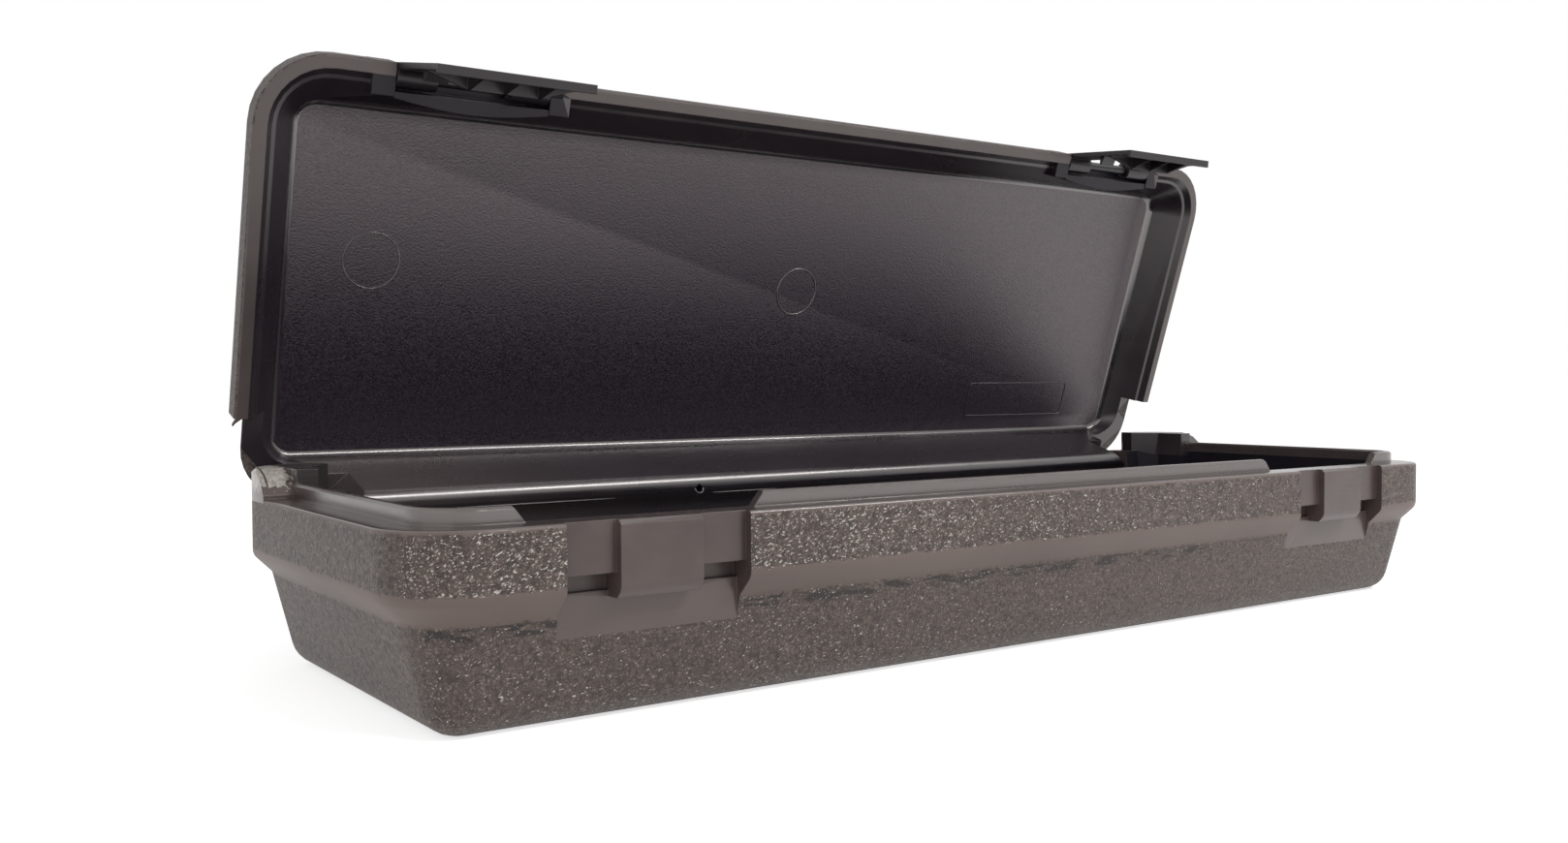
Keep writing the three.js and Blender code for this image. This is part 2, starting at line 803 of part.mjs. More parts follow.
// The lid's own pieces turn about the hinge line.
const lidTurn = new THREE.Group();
lidTurn.position.set(0, hingeY, hingeHeight);
lidTurn.rotation.x = -lidOpenAngle;
const lidPlace = new THREE.Group();
lidPlace.position.set(0, -hingeY, -hingeHeight);
lidTurn.add(lidPlace);
blowMoldedCase.add(lidTurn);
lidPlace.add(mesh("lid_shell", lidShell(), plastic));

for (const [name, side] of Object.entries(latchSides)) {
  const pivot = new THREE.Group();
  pivot.position.set(side * latchFromCentre, latchPivotY, latchPivotZ);
  pivot.add(mesh(`latch_pin_${name}`, latchPin(), steel));
  const latchTurn = new THREE.Group();
  latchTurn.rotation.x = -latchOpenAngles[name];
  latchTurn.add(mesh(`latch_${name}`, latch(), latchPlastic));
  pivot.add(latchTurn);
  lidPlace.add(pivot);
}

export default blowMoldedCase;
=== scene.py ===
# %% [markdown]
# A long blow moulded case, open. Its base and lid are hollow skins of one dark plastic. The mould
# gave them a coarse leather grain outside, a fine grain on the lid's panel, and smooth walls
# elsewhere. Two latches stand out from the lid's front edge. The CAD part is the frame: it fixes
# every size and place, and this file adds surfaces, light and the small marks that moulding left.

# %% Load the frame
import math

import bmesh
import bpy
from mathutils import Matrix, Vector
from mathutils.bvhtree import BVHTree


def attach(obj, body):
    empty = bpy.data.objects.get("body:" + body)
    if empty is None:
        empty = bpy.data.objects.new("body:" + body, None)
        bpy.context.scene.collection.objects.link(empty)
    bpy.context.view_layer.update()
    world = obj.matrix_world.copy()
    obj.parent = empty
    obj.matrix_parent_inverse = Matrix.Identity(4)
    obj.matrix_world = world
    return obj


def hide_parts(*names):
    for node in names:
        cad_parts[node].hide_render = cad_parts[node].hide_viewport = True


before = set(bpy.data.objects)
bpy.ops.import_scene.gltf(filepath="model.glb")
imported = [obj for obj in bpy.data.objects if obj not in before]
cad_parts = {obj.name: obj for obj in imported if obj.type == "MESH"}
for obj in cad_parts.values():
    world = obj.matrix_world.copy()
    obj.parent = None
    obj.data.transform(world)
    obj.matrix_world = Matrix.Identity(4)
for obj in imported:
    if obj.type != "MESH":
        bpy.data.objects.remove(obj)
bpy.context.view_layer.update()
MM = 0.001

# %% [markdown]
# The photograph was taken from the front left, just above the rim of the base. A camera could be
# placed by eye, but then no edge would quite meet its place in the photograph. This one was
# worked out from the case's own straight edges: a lens of 31 mm on a 36 mm sensor, close to the
# corner.

# %% Camera
LENS_MM, SENSOR_MM = 31.13, 36
CAMERA_PLACE = (-0.34331, -0.39004, 0.09182)
TILT, ROLL, HEADING = 90 - 1.733, 0.2195, -35.679

photo_camera = bpy.data.objects.new("photo_camera", bpy.data.cameras.new("photo_camera"))
photo_camera.data.lens = LENS_MM
photo_camera.data.sensor_width = SENSOR_MM
photo_camera.data.clip_start = 0.01
photo_camera.location = CAMERA_PLACE
photo_camera.rotation_euler = [math.radians(angle) for angle in (TILT, ROLL, HEADING)]
bpy.context.collection.objects.link(photo_camera)
bpy.context.scene.camera = photo_camera
bpy.context.scene.view_settings.view_transform = "Standard"
print("camera", round(Vector(CAMERA_PLACE).length, 2), "m from the middle of the case's foot")

# %% [markdown]
# A material here is a small tree of nodes. It could be wired up link by link, but these helpers
# make one node each and return what comes out of it, so that a tree reads like a sum. Every
# pattern starts from the piece's own Object coordinates, which are metres in the CAD frame, and
# so it stays on the plastic when the lid or a latch turns.

# %% Helpers for node trees


def node(tree, kind, feeds=None, **settings):
    """A new node. Each of its feeds is the output of another node, or a plain value."""
    made = tree.nodes.new(kind)
    for key, value in settings.items():
        setattr(made, key, value)
    for name, value in (feeds or {}).items():
        if isinstance(value, bpy.types.NodeSocket):
            tree.links.new(value, made.inputs[name])
        else:
            made.inputs[name].default_value = value
    return made


def new_tree(name):
    """An empty material, and its node tree."""
    material = bpy.data.materials.new(name)
    material.use_nodes = True
    material.node_tree.nodes.clear()
    return material, material.node_tree


def maths(tree, operation, first, second):
    return node(tree, "ShaderNodeMath", {0: first, 1: second}, operation=operation).outputs[0]


def plus(tree, first, second):
    return maths(tree, "ADD", first, second)


def times(tree, first, second):
    return maths(tree, "MULTIPLY", first, second)


def larger(tree, first, second):
    return maths(tree, "MAXIMUM", first, second)


def ramp(tree, value, low, high, start=0.0, end=1.0):
    """A smooth step from start to end while the value goes from low to high."""
    limits = {"Value": value, "From Min": low, "From Max": high, "To Min": start, "To Max": end}
    made = node(tree, "ShaderNodeMapRange", limits, interpolation_type="SMOOTHSTEP")
    return made.outputs["Result"]


def window(tree, value, opens, shuts, soft):
    """1 between two values, with soft ends."""
    rise = ramp(tree, value, opens, opens + soft)
    return times(tree, rise, ramp(tree, value, shuts - soft, shuts, 1, 0))


def mix_colour(tree, factor, first, second):
    """From the first colour at 0 to the second at 1. A colour may be three plain numbers."""
    both = [(*colour, 1) if isinstance(colour, tuple) else colour for colour in (first, second)]
    feeds = {"Factor": factor, "A": both[0], "B": both[1]}
    return node(tree, "ShaderNodeMix", feeds, data_type="RGBA").outputs["Result"]


# %% Helpers for places and patterns


def object_place(tree, stretch=(1, 1, 1)):
    """The place that is being shaded. A number below 1 draws a pattern out along that axis."""
    feeds = {"Vector": node(tree, "ShaderNodeTexCoord").outputs["Object"], "Scale": stretch}
    return node(tree, "ShaderNodeMapping", feeds).outputs["Vector"]


def axes_of(tree):
    """The X, Y and Z of that place, one by one."""
    place = node(tree, "ShaderNodeTexCoord").outputs["Object"]
    return node(tree, "ShaderNodeSeparateXYZ", {0: place}).outputs


def noise(tree, place, per_metre, detail=2, roughness=0.5, output="Fac"):
    feeds = {"Vector": place, "Scale": per_metre, "Detail": detail, "Roughness": roughness}
    return node(tree, "ShaderNodeTexNoise", feeds).outputs[output]


def cells(tree, place, per_metre, feature="F1"):
    feeds = {"Vector": place, "Scale": per_metre}
    return node(tree, "ShaderNodeTexVoronoi", feeds, feature=feature).outputs


# %% Helpers for surfaces


def soft_corner(tree, radius_mm):
    """Moulded plastic has no sharp corner: this rounds the shading over the CAD's sharp edges."""
    return node(tree, "ShaderNodeBevel", {"Radius": radius_mm * MM}, samples=4).outputs["Normal"]


def bumped(tree, height, depth_mm, under=None, strength=1.0):
    """A bump of so many millimetres, on top of another one if there is one."""
    feeds = {"Strength": strength, "Distance": depth_mm * MM, "Height": height}
    if under is not None:
        feeds["Normal"] = under
    return node(tree, "ShaderNodeBump", feeds).outputs["Normal"]


def plastic(tree, colour, roughness, normal, gloss=0.5, ior=1.5, tint=(1, 0.95, 0.93, 1)):
    """The shader that ends every finish of the case. The tint warms its reflections a little."""
    feeds = {"Base Color": colour, "Roughness": roughness, "Normal": normal}
    feeds.update({"Specular IOR Level": gloss, "IOR": ior, "Specular Tint": tint})
    shader = node(tree, "ShaderNodeBsdfPrincipled", feeds)
    node(tree, "ShaderNodeOutputMaterial", {"Surface": shader.outputs[0]})
    return shader


# %% [markdown]
# The case stands on a wide pale floor. More light would turn the background white, but it would
# bleach the plastic too. So the camera and glossy plastic see pure white all round, as in the
# photograph, while the daylight that reaches the plastic itself is weaker. Light Path tells the
# two apart, in the world and in the floor, and the floor still takes the case's shadow.

# %% Floor and world
WHITE = (1, 1, 1, 1)
FLOOR_PAINT = (0.9, 0.9, 0.9, 1)
FLOOR_GAP = 0.05


def seen_directly(tree):
    """1 for what the camera, a reflection or glass sees, and 0 for light that falls on a surface."""
    path = node(tree, "ShaderNodeLightPath").outputs
    seen = larger(tree, path["Is Camera Ray"], path["Is Glossy Ray"])
    return larger(tree, seen, path["Is Transmission Ray"])


def white_world(daylight):
    world = bpy.data.worlds.new("white_world")
    bpy.context.scene.world = world
    world.use_nodes = True
    tree = world.node_tree
    tree.nodes.clear()
    strength = ramp(tree, seen_directly(tree), 0, 1, daylight, 1.0)
    background = node(tree, "ShaderNodeBackground", {"Color": WHITE, "Strength": strength})
    node(tree, "ShaderNodeOutputWorld", {"Surface": background.outputs[0]})
    print("world daylight", daylight)


def white_floor(reach, glow):
    """A square floor. Its glow is only seen, and lights nothing."""
    mesh = bpy.data.meshes.new("floor")
    corners = [(-reach, -reach, 0), (reach, -reach, 0), (reach, reach, 0), (-reach, reach, 0)]
    mesh.from_pydata(corners, [], [(0, 1, 2, 3)])
    floor = bpy.data.objects.new("floor", mesh)
    floor.location.z = -FLOOR_GAP * MM
    bpy.context.collection.objects.link(floor)
    material, tree = new_tree("floor_white")
    paint = node(tree, "ShaderNodeBsdfDiffuse", {"Color": FLOOR_PAINT})
    strength = ramp(tree, seen_directly(tree), 0, 1, 0.0, glow)
    light = node(tree, "ShaderNodeEmission", {"Color": WHITE, "Strength": strength})
    both = node(tree, "ShaderNodeAddShader", {0: paint.outputs[0], 1: light.outputs[0]})
    node(tree, "ShaderNodeOutputMaterial", {"Surface": both.outputs[0]})
    mesh.materials.append(material)
    print("floor glow", glow)


white_world(daylight=0.46)
white_floor(reach=12, glow=0.66)

# %% [markdown]
# The light in the photograph is soft and comes from above and from the left. One big lamp would
# give that, but no crisp highlights. So a long narrow lamp above the front draws thin bright
# lines on the round edges and the hinge bar, and a wide weak one at the left lights the case's
# end.

# %% Lamps


def soft_lamp(name, place, target, size, watts):
    lamp = bpy.data.objects.new(name, bpy.data.lights.new(name, "AREA"))
    lamp.data.shape = "RECTANGLE"
    lamp.data.size, lamp.data.size_y = size
    lamp.data.energy = watts
    lamp.location = place
    lamp.rotation_euler = (Vector(target) - Vector(place)).to_track_quat("-Z", "Y").to_euler()
    bpy.context.collection.objects.link(lamp)
    print(name, size, "m,", watts, "W")


soft_lamp("lamp_above", (0.45, -0.75, 0.95), (0, 0.05, 0.05), (1.0, 0.10), 9.5)
soft_lamp("lamp_left", (-1.7, -0.6, 0.8), (0, 0, 0.08), (2.0, 1.6), 6)

# %% [markdown]
# Outside, the mould was etched with a leather grain: pebbles a little over a millimetre wide
# between dark creases. Modelled pebbles would need millions of faces, so the grain is a bump and
# a pattern of colours. Cells of a Voronoi pattern, bent by some noise, give the creases, and two
# other noises give pale tops and dark hollows.

# %% Leather grain: pebbles and creases
PEBBLES_PER_METRE = 900
WANDER, WANDERS_PER_METRE = 0.0026, 420
CLOUDS_PER_METRE, TOPS_PER_METRE, HOLLOWS_PER_METRE = 20, 820, 560
LEATHER_BROWN, LEATHER_PALE = (0.116, 0.084, 0.074), (0.142, 0.105, 0.092)
PEBBLE_TOP, HOLLOW, CREASE = (0.250, 0.195, 0.165), (0.024, 0.017, 0.015), (0.016, 0.011, 0.010)


def creases(tree, wide):
    """1 on top of a pebble, falling to 0 in the crease between two. Noise makes them wander."""
    place = object_place(tree)
    push = noise(tree, place, WANDERS_PER_METRE, 3, 0.7, "Color")
    feeds = {0: push, 1: (WANDER, WANDER, WANDER), 2: place}
    bent = node(tree, "ShaderNodeVectorMath", feeds, operation="MULTIPLY_ADD").outputs[0]
    net = cells(tree, bent, PEBBLES_PER_METRE, "DISTANCE_TO_EDGE")
    return ramp(tree, net["Distance"], 0.0, wide)


def pebble_colour(tree, place, grained, contrast):
    """The plastic's brown, clouded, with pale tops and dark hollows where it is grained."""
    clouds = ramp(tree, noise(tree, place, CLOUDS_PER_METRE, 3), 0.3, 0.7)
    colour = mix_colour(tree, clouds, LEATHER_BROWN, LEATHER_PALE)
    tops = times(tree, ramp(tree, noise(tree, place, TOPS_PER_METRE), 0.48, 0.58), grained)
    colour = mix_colour(tree, times(tree, tops, plus(tree, contrast, 0.55)), colour, PEBBLE_TOP)
    hollows = ramp(tree, noise(tree, place, HOLLOWS_PER_METRE), 0.38, 0.47, 1, 0)
    hollows = times(tree, hollows, grained)
    return mix_colour(tree, times(tree, hollows, plus(tree, contrast, 0.65)), colour, HOLLOW)


print("leather grain: pebbles of", round(1000 / PEBBLES_PER_METRE, 2), "mm")

# %% [markdown]
# On the base, painted glints shine between the pebbles: long thin pale flecks that stand for
# highlights, thick at the left of the front and rare at the right. Dots would look too round, so
# they are the peaks of two noises that are drawn out along the case, one level and one slanted.
# The grain stops at the ledge between the band and the wall, where the mould was left bare, and a
# row of small dark cracks runs just under the ledge.

# %% Leather grain: painted glints, cracks and margins
BAND, WALL_TOP = (0.0385, 0.0549), (0.0300, 0.0310)
RAGGED, RAGGED_PER_METRE = 0.0022, 420
LEVEL, SLANTED, CRACKED = (4, 2.4, 1750), (32, 2.2, 1900), (0, 5, 520)
GLINT_PEAKS, CRACK_PEAKS = (0.635, 0.69), (0.50, 0.55)
CRACK_HEIGHTS, CRACK_REACH = (0.0262, 0.0306), (-0.166, 0.16)
# The pale colour of the painted glints, which stand for highlights on the grain.
GLINT_PAINT = (0.60, 0.57, 0.53)


def drawn_out(tree, slant, long, per_metre):
    """Noise whose spots are long, and rise to the right by the slant on the front of the case."""
    place = node(tree, "ShaderNodeTexCoord").outputs["Object"]
    feeds = {"Vector": place, "Rotation": (0, -math.radians(slant), 0), "Scale": (long, 1, 1)}
    mapping = node(tree, "ShaderNodeMapping", feeds, vector_type="TEXTURE")
    return noise(tree, mapping.outputs["Vector"], per_metre, 1)


def margins(tree, height):
    """1 where the base is grained, on the band and on the wall under it, with ragged ends."""
    ragged = noise(tree, object_place(tree), RAGGED_PER_METRE)
    ragged = maths(tree, "SUBTRACT", ragged, 0.5)
    height = plus(tree, height, times(tree, ragged, RAGGED))
    return larger(tree, window(tree, height, *BAND, 0.0010), ramp(tree, height, *WALL_TOP, 1, 0))


def painted_glints(tree, place, axes, peaks, left_end):
    """How much painted glint shows. It is rare at the right, on the wall and at the left end."""
    patchy = ramp(tree, noise(tree, place, 90), 0.35, 0.65, 0.02, 0.0)
    along = ramp(tree, axes["X"], -0.12, 0.21, 0.0, 0.07)
    wall = ramp(tree, axes["Z"], 0.029, 0.036, 0.05, 0.008)
    rare = plus(tree, plus(tree, patchy, along), plus(tree, wall, left_end))
    return ramp(tree, maths(tree, "SUBTRACT", peaks, rare), *GLINT_PEAKS)


def cracks(tree, height, round_corner):
    """Dark cracks under the ledge, along the front and a little way round its corners."""
    rows = window(tree, height, *CRACK_HEIGHTS, 0.0008)
    rows = times(tree, rows, window(tree, round_corner, *CRACK_REACH, 0.012))
    return times(tree, ramp(tree, drawn_out(tree, *CRACKED), *CRACK_PEAKS), rows)


# %% [markdown]
# The lid's outside has the same grain, all over and without the painted glints, and its colour is
# pulled a little towards a dark painted shade. Both come from one function, so that the two skins
# look like one plastic. X minus Y grows steadily from the left end, round the corner and along the
# front, so it tells the end from the front.

# %% Leather grain: the base and the lid
GRAIN_DEPTH, GRIT_PER_METRE, ROUNDING = 0.22, 1500, 0.6
END_CONTRAST = 0.3
LEFT_END = (-0.168, -0.158)
# The lid's colour is pulled by this share towards this dark painted shade.
LID_PAINTED_SHADE, LID_SHADE_SHARE = (0.012, 0.009, 0.009), 0.35
DULL, SHINY = 0.5, 0.25


def leather_grain(name, is_lid):
    material, tree = new_tree(name)
    place = object_place(tree)
    grained, left_end = 1.0, END_CONTRAST
    if not is_lid:
        axes = axes_of(tree)
        round_corner = maths(tree, "SUBTRACT", axes["X"], axes["Y"])
        grained = margins(tree, axes["Z"])
        left_end = ramp(tree, round_corner, *LEFT_END, END_CONTRAST, 0.0)
    relief = plus(tree, creases(tree, 0.3), noise(tree, place, GRIT_PER_METRE, 1))
    normal = bumped(tree, relief, GRAIN_DEPTH, soft_corner(tree, ROUNDING), grained)
    level, slanted = drawn_out(tree, *LEVEL), drawn_out(tree, *SLANTED)
    strokes = ramp(tree, maths(tree, "MINIMUM", level, slanted), 0.33, 0.40, 1, 0)
    creased = plus(tree, times(tree, creases(tree, 0.34), -0.6), 0.6)
    dark = times(tree, larger(tree, creased, times(tree, strokes, 0.8)), grained)
    colour = pebble_colour(tree, place, grained, left_end)
    if is_lid:
        # On the lid, painted shade darkens the grain's colour a little.
        colour = mix_colour(tree, dark, colour, CREASE)
        plastic(tree, mix_colour(tree, LID_SHADE_SHARE, colour, LID_PAINTED_SHADE), DULL, normal)
    else:
        dark = larger(tree, dark, cracks(tree, axes["Z"], round_corner))
        # Painted glints: pale streaks that stand for highlights on the grain.
        glint = painted_glints(tree, place, axes, larger(tree, level, slanted), left_end)
        glint = times(tree, glint, grained)
        colour = mix_colour(tree, glint, mix_colour(tree, dark, colour, CREASE), GLINT_PAINT)
        plastic(tree, colour, ramp(tree, glint, 0, 1, DULL, SHINY), normal)
    return material


leather_plastic = leather_grain("leather_plastic", is_lid=False)
lid_leather_plastic = leather_grain("lid_leather_plastic", is_lid=True)
print("leather nodes", [len(m.node_tree.nodes) for m in (leather_plastic, lid_leather_plastic)])

# %% [markdown]
# The left rear post was torn at its corner, with painted shade on the post beside the torn face,
# and the hinge bar gets painted light that is paler towards the left. Faces could be picked for
# that, but the ragged edges follow no face of the mesh, so these are painted by place, in metres.
# Each pair of numbers says where an edge begins and where it has ended.

# %% A torn post, painted shade beside it, and painted light on the hinge bar
TORN_LEFT_OF, TORN_ABOVE, TORN_BEHIND = (-0.2212, -0.2206), (0.0584, 0.0592), (0.044, 0.046)
SPLIT = (-0.2286, -0.2276)
BESIDE, BESIDE_ABOVE, BESIDE_BEHIND = (-0.2203, -0.19), (0.0540, 0.0552), (0.040, 0.044)
TORN_RAGGED = 0.0016
FIBRE_DARK, FIBRE_PALE = (0.30, 0.275, 0.245), (0.46, 0.43, 0.39)
# The split's own dark colour, and the painted shade beside the torn face.
SPLIT_COLOUR, PAINTED_SHADE_BESIDE = (0.05, 0.04, 0.036), (0.020, 0.016, 0.017)
# Painted light on the hinge bar: its colour, and where it fades out towards the right.
LEFT_LIGHT_PAINT, LEFT_LIGHT_ENDS = (0.085, 0.066, 0.066), (-0.26, -0.06)


def torn(tree, shade):
    """A pale ragged face on the post, a dark split in it, and painted shade beside it."""
    axes = axes_of(tree)
    ragged = noise(tree, object_place(tree), 520, 3)
    ragged = ramp(tree, ragged, 0.3, 0.7, -TORN_RAGGED, TORN_RAGGED)
    x, z = (plus(tree, axes[axis], ragged) for axis in "XZ")
    face = times(tree, ramp(tree, x, *TORN_LEFT_OF, 1, 0), ramp(tree, z, *TORN_ABOVE))
    face = times(tree, face, ramp(tree, axes["Y"], *TORN_BEHIND))
    split = times(tree, window(tree, axes["X"], *SPLIT, 0.0004), face)
    # Painted shade on the post beside the torn face.
    shade_beside = times(tree, window(tree, axes["X"], *BESIDE, 0.001), ramp(tree, z, *BESIDE_ABOVE))
    shade_beside = times(tree, shade_beside, ramp(tree, axes["Y"], *BESIDE_BEHIND))
    fibres = ramp(tree, noise(tree, object_place(tree, (1, 1, 0.4)), 700, 3), 0.35, 0.65)
    pale = mix_colour(tree, fibres, FIBRE_DARK, FIBRE_PALE)
    shade = mix_colour(tree, face, mix_colour(tree, shade_beside, shade, PAINTED_SHADE_BESIDE), pale)
    return mix_colour(tree, split, shade, SPLIT_COLOUR)


def painted_left_light(tree, shade):
    """Painted light on the hinge bar, paler towards the left."""
    return mix_colour(tree, ramp(tree, axes_of(tree)["X"], *LEFT_LIGHT_ENDS, 1, 0), shade, LEFT_LIGHT_PAINT)


# %% [markdown]
# Where the mould was bare the plastic is smooth and satin, with faint lines that run along the
# case. It is one plastic, but each wall of the mould left its own gloss and depth of colour. Some
# of the colours are painted light: the nearly black one is painted shade for deep places, the pale
# one on the parting line is a painted highlight, and the hinge bar is paler at its left by painted
# light. One function makes all these finishes, so they differ only in the few numbers that are
# given to it.

# %% Smooth plastics
GLOSS_WANDER = 0.03


def wandering(tree, factor, colour, share):
    """A colour that wanders by this share of itself, darker at 0 and paler at 1."""
    dark, pale = (tuple(channel * by for channel in colour) for by in (1 - share, 1 + share))
    return mix_colour(tree, factor, dark, pale)


def satin(name, colour, roughness, gloss, lines, mottle, speckle, ior=1.5, extra=None):
    """Lines and speckle are depths in mm, and mottle is how far the colour wanders."""
    material, tree = new_tree(name)
    place = object_place(tree)
    streaks = noise(tree, object_place(tree, (0.12, 1, 1)), 900)
    clouds = noise(tree, place, 45, 3)
    normal = bumped(tree, streaks, lines, soft_corner(tree, 0.5))
    normal = bumped(tree, noise(tree, place, 2400, 1), speckle, normal)
    shade = wandering(tree, ramp(tree, clouds, 0.3, 0.7), colour, mottle)
    if extra is not None:
        shade = extra(tree, shade)
    dull, shiny = roughness + GLOSS_WANDER, roughness - GLOSS_WANDER
    plastic(tree, shade, ramp(tree, clouds, 0.3, 0.7, shiny, dull), normal, gloss, ior)
    print(name, "roughness", roughness, "gloss", gloss)
    return material


bare_plastic = satin("bare_plastic", (0.064, 0.050, 0.047), 0.34, 0.6, 0.03, 0.12, 0.02)
torn_plastic = satin(
    "torn_plastic", (0.094, 0.070, 0.063), 0.30, 0.6, 0.03, 0.08, 0.01, extra=torn)
recess_plastic = satin("recess_plastic", (0.076, 0.056, 0.052), 0.34, 0.5, 0.07, 0.2, 0.02)
inner_plastic = satin("inner_plastic", (0.019, 0.014, 0.019), 0.30, 0.8, 0.01, 0.1, 0.01)
# Nearly black: painted shade in the deep inside of the base and behind the latches.
painted_shade_plastic = satin("painted_shade_plastic", (0.009, 0.007, 0.012), 0.42, 0.3, 0.01, 0.1, 0.01)
tongue_plastic = satin("tongue_plastic", (0.058, 0.044, 0.040), 0.20, 1.0, 0.01, 0.15, 0.01, 1.6)
# The hinge bar is paler at its left by painted light.
bar_plastic = satin(
    "bar_plastic", (0.005, 0.003, 0.007), 0.28, 0.95, 0.008, 0.1, 0.006, 1.65, extra=painted_left_light)
edge_plastic = satin("edge_plastic", (0.012, 0.009, 0.013), 0.24, 1.0, 0.008, 0.1, 0.006, 1.7)
latch_plastic = satin("latch_plastic", (0.014, 0.011, 0.014), 0.38, 0.5, 0.02, 0.1, 0.01)
# Pale, as a painted highlight along the parting line's real ridge.
ridge_highlight_plastic = satin("ridge_highlight_plastic", (0.30, 0.28, 0.28), 0.30, 0.8, 0.01, 0.1, 0.01)
collar_plastic = satin("collar_plastic", (0.06, 0.055, 0.06), 0.30, 0.8, 0.01, 0.1, 0.01)

# %% [markdown]
# The panel inside the lid has a fine, dull grain, like sand. Noise alone would look like mist, so
# each grain is one cell of a Voronoi pattern, with its own height, shade and gloss. That way the
# panel sparkles a little where the light meets it.

# %% Fine grain
GRAINS_PER_METRE = 1350
PANEL_TINT = (1, 0.88, 0.9, 1)


def sand_grain(name, colour):
    material, tree = new_tree(name)
    place = object_place(tree)
    sand = cells(tree, place, GRAINS_PER_METRE)
    height = maths(tree, "SUBTRACT", noise(tree, place, 2800, 1), sand["Distance"])
    normal = bumped(tree, height, 0.06, soft_corner(tree, 0.5), 0.8)
    random = node(tree, "ShaderNodeSeparateColor", {0: sand["Color"]}).outputs
    shade = wandering(tree, random[0], colour, 0.4)
    roughness = ramp(tree, random[1], 0, 1, 0.28, 0.40)
    plastic(tree, shade, roughness, normal, gloss=1.0, ior=1.52, tint=PANEL_TINT)
    return material


panel_plastic = sand_grain("panel_plastic", (0.009, 0.005, 0.012))
print("panel grain: grains of", round(1000 / GRAINS_PER_METRE, 2), "mm")

# %% [markdown]
# The pins are plain steel wire, blackened, with fine rings left by drawing. Little of them shows,
# so the CAD's own pins are kept, and one metal finish is enough.

# %% Pin steel
STEEL = (0.05, 0.05, 0.052, 1)


def blackened_steel(name):
    material, tree = new_tree(name)
    rings = noise(tree, object_place(tree, (1, 0.1, 0.1)), 1800, 1)
    shader = plastic(tree, STEEL, ramp(tree, rings, 0, 1, 0.3, 0.45), bumped(tree, rings, 0.02))
    shader.inputs["Metallic"].default_value = 0.8
    print(name, "nodes", len(tree.nodes))
    return material


pin_steel = blackened_steel("pin_steel")

# %% [markdown]
# Each CAD node is a faceted solid. It could be modelled again, but then it might stray from the
# part. So a copy of it, with its corners merged, is shaded smooth over its small steps and stays
# sharp at its real edges. Each face then takes the finish of the mould wall that made it. A short
# test of the face's middle, in mm, and of its direction finds that wall.

# %% Smooth copies of the CAD nodes
HALF_LENGTH, HALF_DEPTH, CORNER = 230.0, 77.5, 22.0
MERGE_WITHIN = 0.002
SHARP_ABOVE = math.radians(19)


def smooth_copy(name, finishes, pick):
    """A copy of a CAD node, each face with the one of the finishes that pick chooses."""
    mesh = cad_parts[name].data.copy()
    mesh.name = f"{name}_skin"
    piece = bpy.data.objects.new(f"{name}_skin", mesh)
    bpy.context.collection.objects.link(piece)
    mesh.materials.clear()
    for finish in finishes:
        mesh.materials.append(finish)
    merged = bmesh.new()
    merged.from_mesh(mesh)
    bmesh.ops.remove_doubles(merged, verts=merged.verts, dist=MERGE_WITHIN * MM)
    for face in merged.faces:
        face.smooth = True
        face.material_index = finishes.index(pick(face.calc_center_median() / MM, face.normal))
    for edge in merged.edges:
        edge.smooth = not (edge.is_manifold and edge.calc_face_angle(0) > SHARP_ABOVE)
    merged.to_mesh(mesh)
    merged.free()
    used = [face.material_index for face in mesh.polygons]
    print(name, {finish.name: used.count(i) for i, finish in enumerate(finishes)})
    return piece


def inset_of(place):
    """How far a point lies inside the case's outline, and the outward direction there."""
    x, y = abs(place.x), abs(place.y)
    over_x, over_y = x - (HALF_LENGTH - CORNER), y - (HALF_DEPTH - CORNER)
    if over_x > 0 and over_y > 0:
        reach = math.hypot(over_x, over_y)
        out = Vector((over_x / reach, over_y / reach, 0))
        depth = CORNER - reach
    elif HALF_LENGTH - x < HALF_DEPTH - y:
        out, depth = Vector((1, 0, 0)), HALF_LENGTH - x
    else:
        out, depth = Vector((0, 1, 0)), HALF_DEPTH - y
    return depth, Vector((math.copysign(out.x, place.x), math.copysign(out.y, place.y), 0))


# %% [markdown]
# The base was grained outside, and bare on its ledge, rim and recesses. Its tongue is glossy from
# rubbing in the lid, and its deep inside is painted nearly black, as painted shade. The wall under
# the band stands back and slopes inwards, so the test for its outside follows that slope down to
# the foot. The sizes are mm in the CAD frame.

# %% The base
POST_FOOT, POST_FRONT, POST_INNER = 53, 44, 200
TONGUE_FOOT, RIM_TOP = 55, 55.4
BAY_CENTRE, BASE_BAY_HALF, BAY_BACK, CATCH_FOOT = 158.8, 29, -58, 33
RECESS_BACK, RECESS_FOOT = -60, 19
BAND_FOOT, WALL_HEAD, WALL_INSET, WALL_SLOPE = 38, 31.2, 5.7, 0.25
FOOT_HEIGHT, FOOT_INSET = 10, 9
SLACK, RECESS_DEPTH, RECESS_BOTTOM, SKIN_DEPTH = 0.8, 0.7, 10, 8.9


